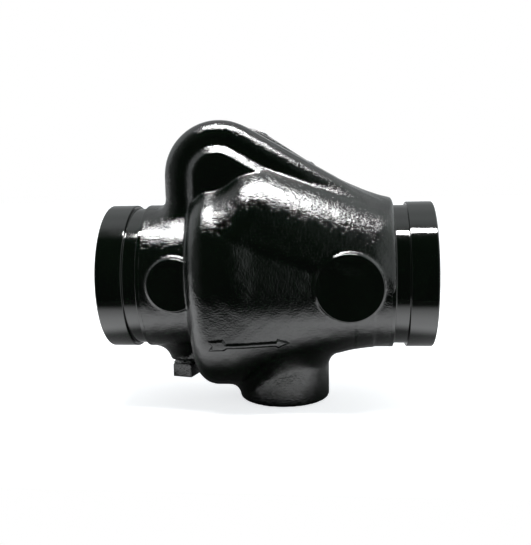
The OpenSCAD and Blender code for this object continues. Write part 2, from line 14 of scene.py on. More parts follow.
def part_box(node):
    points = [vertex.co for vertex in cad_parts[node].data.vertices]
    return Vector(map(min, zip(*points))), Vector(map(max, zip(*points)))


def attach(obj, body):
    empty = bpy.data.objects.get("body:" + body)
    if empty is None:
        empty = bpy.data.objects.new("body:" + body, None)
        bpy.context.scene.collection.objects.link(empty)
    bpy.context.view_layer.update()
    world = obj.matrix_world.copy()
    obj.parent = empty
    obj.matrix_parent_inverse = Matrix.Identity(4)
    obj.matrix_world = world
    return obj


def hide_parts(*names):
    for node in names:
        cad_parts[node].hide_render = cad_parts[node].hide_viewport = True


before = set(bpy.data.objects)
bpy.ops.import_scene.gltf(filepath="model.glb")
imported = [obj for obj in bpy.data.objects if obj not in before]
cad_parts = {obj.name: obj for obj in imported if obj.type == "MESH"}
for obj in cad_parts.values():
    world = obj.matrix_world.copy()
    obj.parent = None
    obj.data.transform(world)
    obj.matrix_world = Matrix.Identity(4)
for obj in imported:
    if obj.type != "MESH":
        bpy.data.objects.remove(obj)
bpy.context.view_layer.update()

# Body: one sand casting in iron, with the bowl, the dome, the hood, the bosses and the water way in it.
# Every corner has a cast fillet, and the skin is slightly wavy under gloss black enamel.
mm = 0.001
end_to_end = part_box("body")[1].x / mm
mid_x = end_to_end / 2
neck_r, waist_r, bore_r = 44.45, 44.7, 38.0
lip_w, groove_w, groove_r = 15.9, 8.0, 42.45
bowl_x, bowl_r, bowl_rise = 54.0, 56.5, 4.0
sump_r, sump_drop, rim_round, wall, fall_lead = 50.0, 19.0, 13.0, 7.0, 0.4
cavity_x = 66.0
taper_x, taper_end, taper_r = 82.0, 161.1, 56.1
dome_r, dome_wall, dome_tilt = 49.3, 4.5, math.radians(19.6)
dome_rise, dome_round, dome_back, dome_far, far_round = 20.5, 27.0, 38.0, 181.0, 20.0
dome_end_from, dome_end_len = 145.0, 20.0
hood_x, hood_z, hood_r, hood_tilt = 70.6, 62.0, 33.1, math.radians(30)
hood_half, hood_round, band_w, band_y, panel_bevel = 28.0, 10.0, 14.8, 24.0, 4.7
hood_low, hood_reach, hood_wall, pocket_shift, cheek_half = 25.0, 96.0, 6.7, 1.4, 19.0
inlet_pad_x, inlet_pad_z, inlet_pad_r, inlet_pad_y = 46.5, 0.5, 15.7, 46.0
outlet_pad_x, outlet_pad_z, outlet_pad_r, outlet_pad_y = 147.8, -1.0, 19.6, 49.8
drain_x, drain_r, drain_low, boss_round = 107.0, 28.2, -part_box("body")[0].z / mm, 2.0
drain_bore_r, drain_tap_r, drain_tap_len = 17.05, 19.05, 20.0
plug_x, plug_boss_r, plug_boss_low, plug_flare = 43.6, 9.6, 53.6, 5.0
access_x, access_z, access_len, access_tilt = 75.0, 60.0, 70.0, math.radians(33)
access_r, access_wall, flange_w, flange_t = 20.0, 7.0, 14.0, 12.0
flange_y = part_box("cover_gasket")[0].y / mm
pin_low, pin_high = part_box("hinge_pin")
hinge_x, hinge_z = (pin_low.x + pin_high.x) / 2 / mm, (pin_low.z + pin_high.z) / 2 / mm
lug_r, lug_face, lug_end, boss_face = 9.5, 17.0, 25.0, 16.0
blend_x, blend_len, neck_lap, pad_inset = 72.0, 24.0, 8.0, 0.3
panel_edge, panel_foot, foot_fillet, pad_fillet = 0.5, 0.5, 7.0, 2.2
bowl_fillet, crest_fillet, dome_fillet, dome_edge, dome_end_edge = 2.2, 0.8, 5.0, 4.0, 9.0
drain_fillet, plug_fillet, flange_fillet = 7.0, 9.0, 4.0
crest_z, crest_len_z, crest_x, crest_len_x = 40.0, 10.0, 110.0, 15.0


def join(a, b, fillet):
    """Union of two distances. Within the fillet of both, it is fillet - |(fillet - a, fillet - b)|, a round corner."""
    u, v = np.maximum(fillet - a, 0), np.maximum(fillet - b, 0)
    return np.maximum(fillet, np.minimum(a, b)) - np.hypot(u, v)


def meet(a, b, edge):
    """Intersection of two distances. Within the edge radius of both, it is |(a + edge, b + edge)| - edge."""
    u, v = np.maximum(edge + a, 0), np.maximum(edge + b, 0)
    return np.minimum(-edge, np.maximum(a, b)) + np.hypot(u, v)


def bowl(x, y, z, inset):
    """Distance to the bowl's section at x: two circles one above the other, and the flats that touch both. Behind
    the clapper both radii and the gap between the centres shrink to the outlet neck's circle, the upper one evenly
    and the lower one a little faster at first."""
    part = np.clip((x - blend_x) / blend_len, 0, 1)
    part = part * part * (3 - 2 * part)
    run = np.minimum((x - taper_x) / (taper_end - taper_x), 0.999)
    upper = bowl_r + part * (taper_r - bowl_r + run * (neck_r - taper_r)) - inset
    fall = run + fall_lead * run * (1 - run)
    lower = sump_r + part * fall * (neck_r - sump_r) - inset
    rise, drop = bowl_rise * (1 - part), sump_drop * (1 - part * fall)
    gap = rise + drop
    lean = (upper - lower) / gap
    side = np.sqrt(1 - lean * lean)
    across, down = np.abs(y), rise - z
    along = down * side - across * lean
    flat = across * side + down * lean - upper
    low = np.where(along > side * gap, np.hypot(across, down - gap) - lower, flat)
    return np.where(along < 0, np.hypot(across, down) - upper, low)


def dome(x, y, z, inset, edge, far):
    """Distance to the upper half of a cylinder round a sloping axis. Its high end is rounded, and its low end turns
    in towards the outlet neck, more on its sides than on its crest."""
    ahead = (x - mid_x) * math.cos(dome_tilt) - (z - dome_rise) * math.sin(dome_tilt)
    up = (x - mid_x) * math.sin(dome_tilt) + (z - dome_rise) * math.cos(dome_tilt)
    tube = np.hypot(y, np.maximum(up, 0)) - (dome_r - inset)
    closed = meet(tube, -ahead - (dome_back - inset), dome_round - inset)
    closed = meet(closed, x - far, far_round * np.clip(np.abs(y) / neck_r, 0.3, 1))
    low_end = np.clip((x - dome_end_from) / dome_end_len, 0, 1)
    return meet(closed, -up, edge + dome_end_edge * low_end)


def hood_outline(x, z):
    """Distance to the hood's outline: all points within its radius of a wedge between plumb and the slope."""
    right, up = x - hood_x, z - hood_z
    ahead = right * math.cos(hood_tilt) - up * math.sin(hood_tilt)
    over = right * math.sin(hood_tilt) + up * math.cos(hood_tilt)
    wedge = np.where((up > 0) & (ahead < 0), np.hypot(right, up), np.maximum(-right, over))
    return wedge - hood_r, ahead


def hood(x, y, z):
    """Distance to the hood: its outline between two flat sides, with the bevelled panel raised on the near side."""
    outline, ahead = hood_outline(x, z)
    solid = meet(outline, np.where(y < 0, -y - band_y, y - hood_half), hood_round)
    rise = hood_half - band_y
    slope = ((outline + band_w) * rise - (y + band_y) * panel_bevel) / math.hypot(rise, panel_bevel)
    panel = np.maximum(meet(slope, -y - hood_half, panel_edge), np.maximum(outline + band_w - rise, y))
    return np.maximum(join(solid, panel, panel_foot), np.maximum(hood_low - z, ahead - hood_reach))


def track(x, z):
    """Distance to the centre line of the access opening, a straight stretch that slopes down along the flow."""
    right, up = x - access_x, z - access_z
    along = right * math.cos(access_tilt) - up * math.sin(access_tilt)
    off = right * math.sin(access_tilt) + up * math.cos(access_tilt)
    return np.hypot(along - np.clip(along, 0, access_len), off)


def outside(x, y, z):
    """Distance to the casting's outer form, built up as the pattern maker does: necks, bowl, dome, hood and bosses.
    The fillet where the hood meets the dome's crest is smaller than the others."""
    across = np.hypot(y, z)
    inlet_neck = np.maximum(across - neck_r, x - cavity_x)
    leg = join(inlet_neck, hood(x, y, z), foot_fillet)
    shell = np.maximum(meet(bowl(x, y, z, 0), bowl_x - x, rim_round), x - taper_end)
    outlet_neck = np.maximum(across - waist_r, taper_end - neck_lap - x)
    shell = join(join(shell, outlet_neck, bowl_fillet), dome(x, y, z, 0, dome_edge, dome_far), dome_fillet)
    crest = np.clip((z - crest_z) / crest_len_z, 0, 1) * np.clip((crest_x - x) / crest_len_x, 0, 1)
    form = join(leg, shell, bowl_fillet + crest * (crest_fillet - bowl_fillet))
    inlet_pad = np.hypot(x - inlet_pad_x, z - inlet_pad_z) - inlet_pad_r + pad_inset
    inlet_pad = np.maximum(meet(inlet_pad, -y - inlet_pad_y + pad_inset, 1), y)
    outlet_pad = np.hypot(x - outlet_pad_x, z - outlet_pad_z) - outlet_pad_r + pad_inset
    outlet_pad = np.maximum(meet(outlet_pad, -y - outlet_pad_y + pad_inset, 1), y)
    form = join(form, np.minimum(inlet_pad, outlet_pad), pad_fillet)
    boss = meet(np.hypot(x - drain_x, y) - drain_r, -z - drain_low, boss_round)
    form = join(form, np.maximum(boss, z), drain_fillet)
    lift = np.clip((z + plug_boss_low) / (plug_boss_low - neck_r / 2), 0, 1)
    boss = np.hypot(x - plug_x, y) - plug_boss_r - lift * plug_flare
    form = join(form, np.maximum(meet(boss, -z - plug_boss_low, 1), z), plug_fillet)
    line = track(x, z)
    neck = np.maximum(line - access_r - access_wall, np.maximum(dome_rise - y, y - flange_y))
    form = join(form, neck, flange_fillet)
    flange = meet(line - access_r - flange_w, np.abs(y - flange_y + flange_t / 2) - flange_t / 2, 1.2)
    return join(form, flange, 2)


def water_way(x, y, z):
    """Distance to the space inside: bore, bowl, tapers, dome, hood, access opening and drain port."""
    across = np.hypot(y, z)
    bores = np.where(x < mid_x, np.maximum(across - bore_r, x - cavity_x - 1),
                     np.maximum(across - bore_r, taper_end - 1 - x))
    space = np.maximum(bowl(x, y, z, wall), np.maximum(cavity_x - x, x - taper_end))
    space = np.minimum(space, bores)
    space = np.minimum(space, dome(x, y, z, dome_wall, 1, taper_end - dome_wall))
    outline, ahead = hood_outline(x - pocket_shift, z)
    pocket = meet(outline + hood_wall, np.abs(y) - cheek_half, 3)
    space = np.minimum(space, np.maximum(pocket, np.maximum(neck_r + wall - 4 - z, ahead - 56)))
    opening = np.maximum(track(x, z) - access_r, -y)
    space = np.minimum(space, opening)
    port = np.hypot(x - drain_x, y)
    port = np.where(z > drain_tap_len - drain_low, port - drain_bore_r, port - drain_tap_r)
    return np.minimum(space, np.maximum(port, z + sump_drop))


def pin_lugs(x, y, z):
    """Distance to the boss and the lug that hold the hinge pin in the hood."""
    off = np.hypot(x - hinge_x, z - hinge_z) - lug_r
    lug = np.maximum(np.where(z > hinge_z, np.abs(x - hinge_x) - lug_r, off), z - hinge_z - 22)
    front = np.maximum(off, np.maximum(-cheek_half - 2 - y, y + boss_face))
    return np.minimum(front, np.maximum(lug, np.abs(y - (lug_face + lug_end) / 2) - (lug_end - lug_face) / 2))


cast_from, cast_to = lip_w + groove_w + 0.9, end_to_end - lip_w - groove_w - 0.2
skin_wave, wave_len, end_round = 0.07, 11.0, 2.0


def casting(x, y, z):
    """Distance to the whole casting: the outer form less the water way, with the lugs, and a wavy skin.
    The wave is the product of three sines at about one wave length."""
    turn = 2 * math.pi / wave_len
    wave = np.sin(turn * x + 2 * np.sin(z / 9)) * np.sin(turn * 0.83 * z + 1.3) * np.cos(turn * 0.9 * y)
    metal = meet(outside(x, y, z), -water_way(x, y, z), 1.2)
    metal = np.minimum(metal, pin_lugs(x, y, z)) + skin_wave * wave
    return np.maximum(meet(metal, x - cast_to, end_round), cast_from - x)


def slope_of(field, points, reach=0.04):
    """Value and gradient of a distance at many points, by differences over a short reach."""
    shifts = np.eye(3) * reach
    ahead = [field(*(points + s).T) for s in shifts]
    behind = [field(*(points - s).T) for s in shifts]
    return field(*points.T), (np.array(ahead) - np.array(behind)).T / (2 * reach)


def surface_of(field, low, high, step):
    """Closed surface where the distance is nought. Each grid cell that it crosses gets one point, moved onto it
    down the gradient, and each grid edge that it crosses gets a face between the four cells around it."""
    axes = [np.arange(a, b + step, step) for a, b in zip(low, high)]
    inside = field(*np.meshgrid(*axes, indexing="ij", sparse=True)) < 0
    corners = sum(inside[i:inside.shape[0] - 1 + i, j:inside.shape[1] - 1 + j, k:inside.shape[2] - 1 + k].astype(int)
                  for i in (0, 1) for j in (0, 1) for k in (0, 1))
    crossed = (corners > 0) & (corners < 8)
    points = np.argwhere(crossed) * step + np.array(low) + step / 2
    number = np.zeros(crossed.shape, int)
    number[crossed] = np.arange(len(points))
    faces = []
    for a in range(3):
        order = (a, (a + 1) % 3, (a + 2) % 3)
        solid, cell = np.transpose(inside, order), np.transpose(number, order)
        here, there = solid[:-1, 1:-1, 1:-1], solid[1:, 1:-1, 1:-1]
        ring = np.stack([cell[:, :-1, :-1], cell[:, 1:, :-1], cell[:, 1:, 1:], cell[:, :-1, 1:]], -1)
        faces += [ring[here & ~there], ring[there & ~here][:, ::-1]]
    for _ in range(5):
        value, slope = slope_of(field, points)
        move = value[:, None] * slope / np.maximum((slope ** 2).sum(1, keepdims=True), 0.2)
        points = points - np.clip(move, -step, step)
    slope = slope_of(field, points)[1]
    return points, np.concatenate(faces), slope / np.linalg.norm(slope, axis=1, keepdims=True)


def new_piece(name, points, faces, normals, weld=1e-4):
    """Object with its place in its mesh. Points closer than the weld become one, which closes seams and poles,
    and a face keeps only its different corners."""
    keys = np.round(points / weld).astype(np.int64)
    _, first, same = np.unique(keys, axis=0, return_index=True, return_inverse=True)
    faces = same.ravel()[faces]
    keep = faces != np.roll(faces, 1, axis=1)
    count = keep.sum(1)
    faces, keep, count = faces[count > 2], keep[count > 2], count[count > 2]
    mesh = bpy.data.meshes.new(name)
    mesh.vertices.add(len(first))
    mesh.vertices.foreach_set("co", (points[first] * mm).astype(np.float32).ravel())
    mesh.loops.add(int(count.sum()))
    mesh.loops.foreach_set("vertex_index", faces[keep].astype(np.int32))
    mesh.polygons.add(len(count))
    mesh.polygons.foreach_set("loop_start", np.concatenate([[0], np.cumsum(count)[:-1]]).astype(np.int32))
    mesh.update(calc_edges=True)
    mesh.validate()
    mesh.shade_smooth()
    mesh.normals_split_custom_set_from_vertices(normals[first].tolist())
    piece = bpy.data.objects.new(name, mesh)
    bpy.context.scene.collection.objects.link(piece)
    return piece


def new_finish(name, colour, metallic, roughness):
    """Material with its even values on the shader itself."""
    material = bpy.data.materials.new(name)
    material.use_nodes = True
    shader = material.node_tree.nodes["Principled BSDF"]
    shader.inputs["Base Color"].default_value = (*colour, 1)
    shader.inputs["Metallic"].default_value = metallic
    shader.inputs["Roughness"].default_value = roughness
    return material


def node(material, kind, **values):
    """Shader node of that kind, with its inputs set by name."""
    made = material.node_tree.nodes.new("ShaderNode" + kind)
    for socket, value in values.items():
        made.inputs[socket.replace("_", " ")].default_value = value
    return made


def wire(material, source, output, target, socket):
    """Joins one node's output to another's input."""
    material.node_tree.links.new(source.outputs[output], target.inputs[socket])


def mottle(material, scale, low, high, socket, detail=3.0):
    """Noise of that scale per metre that carries a shader value, or a colour, from low to high."""
    place = node(material, "TexCoord")
    noise = node(material, "TexNoise", Scale=scale, Detail=detail)
    ramp = node(material, "ValToRGB")
    ramp.color_ramp.elements[0].position = 0.3
    ramp.color_ramp.elements[1].position = 0.7
    ramp.color_ramp.elements[0].color = low if hasattr(low, "__len__") else (low, low, low, 1)
    ramp.color_ramp.elements[1].color = high if hasattr(high, "__len__") else (high, high, high, 1)
    wire(material, place, "Object", noise, "Vector")
    wire(material, noise, "Fac", ramp, "Fac")
    wire(material, ramp, "Color", material.node_tree.nodes["Principled BSDF"], socket)


def grain(material, coarse, fine, depth, share):
    """Bump of two noises, per metre: a coarse one, and a share of a fine one over it, to that depth in metres."""
    place = node(material, "TexCoord")
    wide = node(material, "TexNoise", Scale=coarse, Detail=2.0)
    close = node(material, "TexNoise", Scale=fine, Detail=1.0)
    both = node(material, "Math")
    both.operation = "MULTIPLY_ADD"
    both.inputs[1].default_value = share
    bump = node(material, "Bump", Strength=1.0, Distance=depth)
    wire(material, place, "Object", wide, "Vector")
    wire(material, place, "Object", close, "Vector")
    wire(material, close, "Fac", both, 0)
    wire(material, wide, "Fac", both, 2)
    wire(material, both, "Value", bump, "Height")
    wire(material, bump, "Normal", material.node_tree.nodes["Principled BSDF"], "Normal")


def black_enamel(name, depth, roughness):
    """Gloss black dip enamel that follows the iron under it: the rougher the iron, the deeper the grain."""
    paint = new_finish(name, (0.001, 0.003, 0.001), 0.0, roughness)
    paint.node_tree.nodes["Principled BSDF"].inputs["IOR"].default_value = 1.6
    mottle(paint, 60, (0.0005, 0.0022, 0.0007, 1), (0.0012, 0.0034, 0.0014, 1), "Base Color")
    mottle(paint, 240, roughness * 0.8, roughness * 1.25, "Roughness")
    grain(paint, 850, 2000, depth, 0.5)
    return paint


def dress(piece, body, finish):
    """The piece rides on its body and takes its finish."""
    piece.data.materials.clear()
    piece.data.materials.append(finish)
    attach(piece, body)
    return piece


cast_paint = black_enamel("cast_enamel", 0.00019, 0.07)
grid_step = 1.4
cast_low = (cast_from - 2 * grid_step, -60, -drain_low - 3)
cast_high = (cast_to + 2 * grid_step, flange_y + 3, hood_z + hood_r + 3)
body_casting = new_piece("body_casting", *surface_of(casting, cast_low, cast_high, grid_step))
dress(body_casting, "valve_body", cast_paint)
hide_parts("body")

# Grooved ends and pads: turned and faced on the casting, then painted with it, so they are smoother than the skin.
# Each end has a lip, a groove for the coupling and the bore; each pad is a flat round face.
machined_paint = black_enamel("machined_enamel", 0.00001, 0.06)


def turned_profile(corners, closed):
    """Profile with every corner rounded by an arc that touches both sides. Corners are (along, radius, rounding).
    The outward normal is on the right of the way along the profile and turns only along the arcs."""
    given = np.array([c[:2] for c in corners], float)
    ways = np.roll(given, -1, axis=0) - given
    ways /= np.maximum(np.linalg.norm(ways, axis=1, keepdims=True), 1e-9)
    points, normals = [], []
    for i, (along, radius, rounding) in enumerate(corners):
        end = not closed and i in (0, len(corners) - 1)
        before, after = ways[i - 1], ways[i]
        if end:
            way = after if i == 0 else before
            points.append([along, radius])
            normals.append([way[1], -way[0]])
            continue
        turn = math.atan2(before[0] * after[1] - before[1] * after[0], before @ after)
        start = given[i] - before * rounding * math.tan(abs(turn) / 2)
        first = np.array([before[1], -before[0]])
        centre = start - math.copysign(rounding, turn) * first
        for part in np.linspace(0, turn, 6):
            normal = np.array([first[0] * math.cos(part) - first[1] * math.sin(part),
                               first[0] * math.sin(part) + first[1] * math.cos(part)])
            points.append(centre + math.copysign(rounding, turn) * normal)
            normals.append(normal)
    return np.array(points), np.array(normals)


def turned(name, centre, axis, corners, closed=True, sides=160):
    """Surface of revolution: centre + axis * along + (side * cos t + other * sin t) * radius, over t and profile."""
    profile, normal = turned_profile(corners, closed)
    axis = np.array(axis, float)
    side = np.array([0, 1, 0] if abs(axis[0]) > 0.5 else [1, 0, 0], float)
    other = np.cross(axis, side)
    turn = np.linspace(0, 2 * math.pi, sides, endpoint=False)[None, :, None]
    spoke = side * np.cos(turn) + other * np.sin(turn)
    points = np.array(centre, float) + axis * profile[:, None, :1] + spoke * profile[:, None, 1:]
    normals = axis * normal[:, None, :1] + spoke * normal[:, None, 1:]
    rows = len(profile)
    here = np.arange(rows if closed else rows - 1)[:, None]
    i, j = here * sides, np.arange(sides)[None, :]
    k, l = (here + 1) % rows * sides, (j + 1) % sides
    faces = np.stack([i + j, k + j, k + l, i + l], -1).reshape(-1, 4)
    return new_piece(name, points.reshape(-1, 3), faces, normals.reshape(-1, 3))


lap, skin = 2.6, 0.04
groove_end = lip_w + groove_w
inlet_end = turned("inlet_end", (0, 0, 0), (1, 0, 0), [
    (0, bore_r - skin, 1.2), (groove_end + lap, bore_r - skin, 0.2), (groove_end + lap, neck_r + skin, 0.3),
    (groove_end, neck_r + skin, 0.6), (groove_end, groove_r, 0.5), (lip_w, groove_r, 0.5),
    (lip_w, neck_r, 0.6), (0, neck_r, 1.0)])
outlet_end = turned("outlet_end", (end_to_end, 0, 0), (-1, 0, 0), [
    (0, bore_r - skin, 1.2), (groove_end + lap, bore_r - skin, 0.2), (groove_end + lap, waist_r + skin, 0.3),
    (groove_end, waist_r + skin, 0.6), (groove_end, groove_r, 0.5), (lip_w, groove_r, 0.5),
    (lip_w, neck_r, 0.6), (0, neck_r, 1.0)])
pad_foot = 7.0
inlet_pad = turned("inlet_pad", (inlet_pad_x, 0, inlet_pad_z), (0, -1, 0), [
    (inlet_pad_y, 0, 0), (inlet_pad_y, inlet_pad_r, 0.9), (inlet_pad_y - pad_foot, inlet_pad_r, 0.2),
    (inlet_pad_y - pad_foot, 0, 0)], closed=False)
outlet_pad = turned("outlet_pad", (outlet_pad_x, 0, outlet_pad_z), (0, -1, 0), [
    (outlet_pad_y, 0, 0), (outlet_pad_y, outlet_pad_r, 0.9), (outlet_pad_y - pad_foot, outlet_pad_r, 0.2),
    (outlet_pad_y - pad_foot, 0, 0)], closed=False)
for part in (inlet_end, outlet_end, inlet_pad, outlet_pad):
    dress(part, "valve_body", machined_paint)
    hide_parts("body")

# Flow arrow: cast proud of the bowl's near side, with a barbed head and a swallow tail, and painted with the body.
# Its flanks slope, as the pattern has to leave the sand.
arrow_proud, arrow_draft, arrow_edge_round = 1.4, 0.7, 0.3
arrow_outline = [(65.9, -31.4), (75.5, -30.5), (77.3, -33.0), (105.3, -32.8), (106.2, -31.0), (113.8, -34.0),
                 (106.4, -37.6), (105.1, -36.3), (77.5, -36.4), (75.7, -37.8), (66.3, -38.1), (68.8, -34.5)]


def arrow_edge(x, z):
    """Distance to the arrow's outline: the least distance to a side, with the sign of the crossings to its left."""
    least, inside = np.full(np.broadcast(x, z).shape, 1e9), np.zeros(np.broadcast(x, z).shape, bool)
    for (ax, az), (bx, bz) in zip(arrow_outline, arrow_outline[1:] + arrow_outline[:1]):
        way_x, way_z = bx - ax, bz - az
        part = np.clip(((x - ax) * way_x + (z - az) * way_z) / (way_x ** 2 + way_z ** 2), 0, 1)
        least = np.minimum(least, np.hypot(x - ax - part * way_x, z - az - part * way_z))
        if az != bz:
            inside ^= ((az > z) != (bz > z)) & (x < ax + (z - az) * way_x / way_z)
    return np.where(inside, -least, least)


def arrow(x, y, z):
    """Distance to the arrow: its outline with sloping flanks, from inside the wall to its height over the bowl."""
    height = outside(x, y, z)
    flank = (arrow_edge(x, z) + arrow_draft * height) / math.hypot(1, arrow_draft)
    return meet(flank, np.abs(height) - arrow_proud, arrow_edge_round)


flow_arrow = new_piece("flow_arrow", *surface_of(
    arrow, (64, -55, -40), (116, -38, -27), 0.45))
dress(flow_arrow, "valve_body", cast_paint)

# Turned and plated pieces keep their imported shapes: bronze seat, plate, bushes and washers, steel pin, stud and nuts.
# The marks of the tool run round each piece's own axis.


def tool_marks(material, axis, centre, pitch, depth):
    """Fine rings round an axis through the centre: noise along the radius and along the axis, as a bump."""
    place = node(material, "TexCoord")
    move = node(material, "Mapping", Location=tuple(-c for c in centre))
    parts = node(material, "SeparateXYZ")
    wire(material, place, "Object", move, "Vector")
    wire(material, move, "Vector", parts, "Vector")
    others = [n for n in "XYZ" if n != axis]
    flat = node(material, "CombineXYZ")
    wire(material, parts, others[0], flat, "X")
    wire(material, parts, others[1], flat, "Y")
    radius = node(material, "VectorMath")
    radius.operation = "LENGTH"
    wire(material, flat, "Vector", radius, 0)
    lines = node(material, "CombineXYZ")
    wire(material, radius, "Value", lines, "X")
    wire(material, parts, axis, lines, "Y")
    noise = node(material, "TexNoise", Scale=1 / pitch, Detail=2.0)
    bump = node(material, "Bump", Strength=1.0, Distance=depth)
    wire(material, lines, "Vector", noise, "Vector")
    wire(material, noise, "Fac", bump, "Height")
    wire(material, bump, "Normal", material.node_tree.nodes["Principled BSDF"], "Normal")


def bronze(name, axis, centre):
    """Turned gun metal with slight tarnish."""
    metal = new_finish(name, (0.6, 0.36, 0.15), 1.0, 0.3)
    mottle(metal, 90, (0.5, 0.29, 0.12, 1), (0.68, 0.43, 0.2, 1), "Base Color")
    mottle(metal, 300, 0.24, 0.38, "Roughness")
    tool_marks(metal, axis, centre, 0.0005, 0.00002)
    return metal


def steel(name, axis, centre):
    """Bright turned steel, slightly dulled by handling."""
    metal = new_finish(name, (0.55, 0.56, 0.58), 1.0, 0.28)
    mottle(metal, 120, (0.46, 0.47, 0.49, 1), (0.62, 0.63, 0.65, 1), "Base Color")
    mottle(metal, 350, 0.22, 0.36, "Roughness")
    tool_marks(metal, axis, centre, 0.0004, 0.000015)
    return metal


def dress_node(name, finish):
    """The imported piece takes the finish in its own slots."""
    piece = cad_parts[name]
    piece.data.materials.clear()
    piece.data.materials.append(finish)


hinge = (hinge_x * mm, 0, hinge_z * mm)
flow_bronze = bronze("bronze_on_flow_axis", "X", (0, 0, 0))
pin_bronze = bronze("bronze_on_hinge_axis", "Y", hinge)
flow_steel = steel("steel_on_flow_axis", "X", (0, 0, 0))
pin_steel = steel("steel_on_hinge_axis", "Y", hinge)
for name in ("seat_ring", "facing_retainer"):
    dress_node(name, flow_bronze)
for name in ("bush_front", "bush_rear", "thrust_washer_front", "thrust_washer_rear"):
    dress_node(name, pin_bronze)
for name in ("disc_stud", "stud_washer", "stud_nut", "retainer_screws", "cotter_pin"):
    dress_node(name, flow_steel)
for name in ("hinge_pin", "pin_clip"):
    dress_node(name, pin_steel)

# Arm and disc: ductile iron castings that swing in the water way, bored and faced where they carry other pieces.
# They have a thin black coating, duller and rougher than the body's enamel.
clapper_iron = new_finish("coated_iron", (0.05, 0.05, 0.052), 0.4, 0.5)
mottle(clapper_iron, 130, (0.035, 0.035, 0.037, 1), (0.075, 0.073, 0.07, 1), "Base Color")
mottle(clapper_iron, 420, 0.38, 0.6, "Roughness")
grain(clapper_iron, 500, 1800, 0.00018, 0.5)
dress_node("clapper_arm", clapper_iron)
dress_node("clapper_disc", clapper_iron)

# Rubber: the facing that shuts on the seat and the ring under the seat are moulded and nearly smooth.
# The gasket under the cover is cut from sheet and has the sheet's pressed grain.
moulded_rubber = new_finish("moulded_rubber", (0.02, 0.02, 0.02), 0.0, 0.55)
mottle(moulded_rubber, 200, (0.014, 0.014, 0.014, 1), (0.03, 0.03, 0.029, 1), "Base Color")
mottle(moulded_rubber, 500, 0.45, 0.65, "Roughness")
grain(moulded_rubber, 900, 3000, 0.00004, 0.6)
sheet_rubber = new_finish("sheet_rubber", (0.03, 0.03, 0.03), 0.0, 0.7)
mottle(sheet_rubber, 500, 0.6, 0.8, "Roughness")
mottle(sheet_rubber, 700, (0.02, 0.02, 0.02, 1), (0.05, 0.048, 0.045, 1), "Base Color")
grain(sheet_rubber, 1200, 4000, 0.00005, 0.6)
dress_node("disc_facing", moulded_rubber)
dress_node("seat_o_ring", moulded_rubber)
dress_node("cover_gasket", sheet_rubber)

# Cover and plug: cast iron in the body's enamel. The cover is held by plated bolts on washers.
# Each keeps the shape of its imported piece, with its corners rounded as cast, forged or stamped.


def softened(name, rounding, finish):
    """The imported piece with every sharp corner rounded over."""
    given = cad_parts[name]
    mesh = given.data.copy()
    mesh.transform(given.matrix_world)
    made = bmesh.new()
    made.from_mesh(mesh)
    bmesh.ops.remove_doubles(made, verts=made.verts, dist=1e-6)
    bmesh.ops.dissolve_limit(made, angle_limit=math.radians(1), verts=made.verts, edges=made.edges)
    made.to_mesh(mesh)
    made.free()
    mesh.shade_smooth()
    piece = bpy.data.objects.new(name + "_rounded", mesh)
    bpy.context.scene.collection.objects.link(piece)
    corner = piece.modifiers.new("corners", "BEVEL")
    corner.width, corner.segments, corner.limit_method = rounding * mm, 3, "ANGLE"
    corner.angle_limit, corner.harden_normals = math.radians(25), True
    dress(piece, "valve_body", finish)
    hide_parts(name)


softened("access_cover", 1.0, cast_paint)
softened("pipe_plug", 0.7, cast_paint)
softened("cover_bolts", 0.4, pin_steel)
softened("cover_washers", 0.25, pin_steel)

# Floor and room: a pale table under the drain boss that ends in front of the valve, and a pale room that is dark
# in front, lit by one long soft box. The camera sees both as white; the gloss of the enamel shows the room as lit,
# and on the table a painted light with a painted shade under the valve.
floor_half, floor_front, floor_z = 3.0, -0.145, -(drain_low + 0.15) * mm
floor_x = np.concatenate([[-floor_half], np.arange(-0.3, 0.5, 0.01), [floor_half]])
floor_y = np.concatenate([np.arange(floor_front, 0.15, 0.005), [floor_half]])
spots = np.stack(np.meshgrid(floor_x, floor_y, indexing="ij"), -1).reshape(-1, 2)
first = (np.arange(len(floor_x) - 1)[:, None] * len(floor_y) + np.arange(len(floor_y) - 1)).ravel()
cells = np.stack([first, first + len(floor_y), first + len(floor_y) + 1, first + 1], -1)
floor_mesh = bpy.data.meshes.new("floor")
floor_mesh.from_pydata(np.insert(spots, 2, floor_z, axis=1).tolist(), [], cells.tolist())
floor = bpy.data.objects.new("floor", floor_mesh)
bpy.context.scene.collection.objects.link(floor)


def ease(value, low, high):
    """Rises smoothly from 0 at low to 1 at high."""
    part = np.clip((value - low) / (high - low), 0, 1)
    return part * part * (3 - 2 * part)


def painted_table_light(x, y):
    """Painted light of the table in the gloss: it rises from its front edge towards the valve, and falls to a painted
    soft shade under it, whose edge stands further back away from the bowl and which lightens outwards."""
    aside = np.abs(x - shade_x)
    lit = ease(y, floor_front + 0.025, -0.09) * (1.4 + 0.9 * ease(y, -0.1, -0.06))
    shade = 0.02 + 0.3 * ease(aside, 0.04, 0.12) + 0.3 * ease(y, 0.03, 0.1)
    edge = shade_front + shade_spread * aside
    under = ease(y, edge - shade_soft, edge + shade_soft)
    return (1 - under) * lit + under * shade
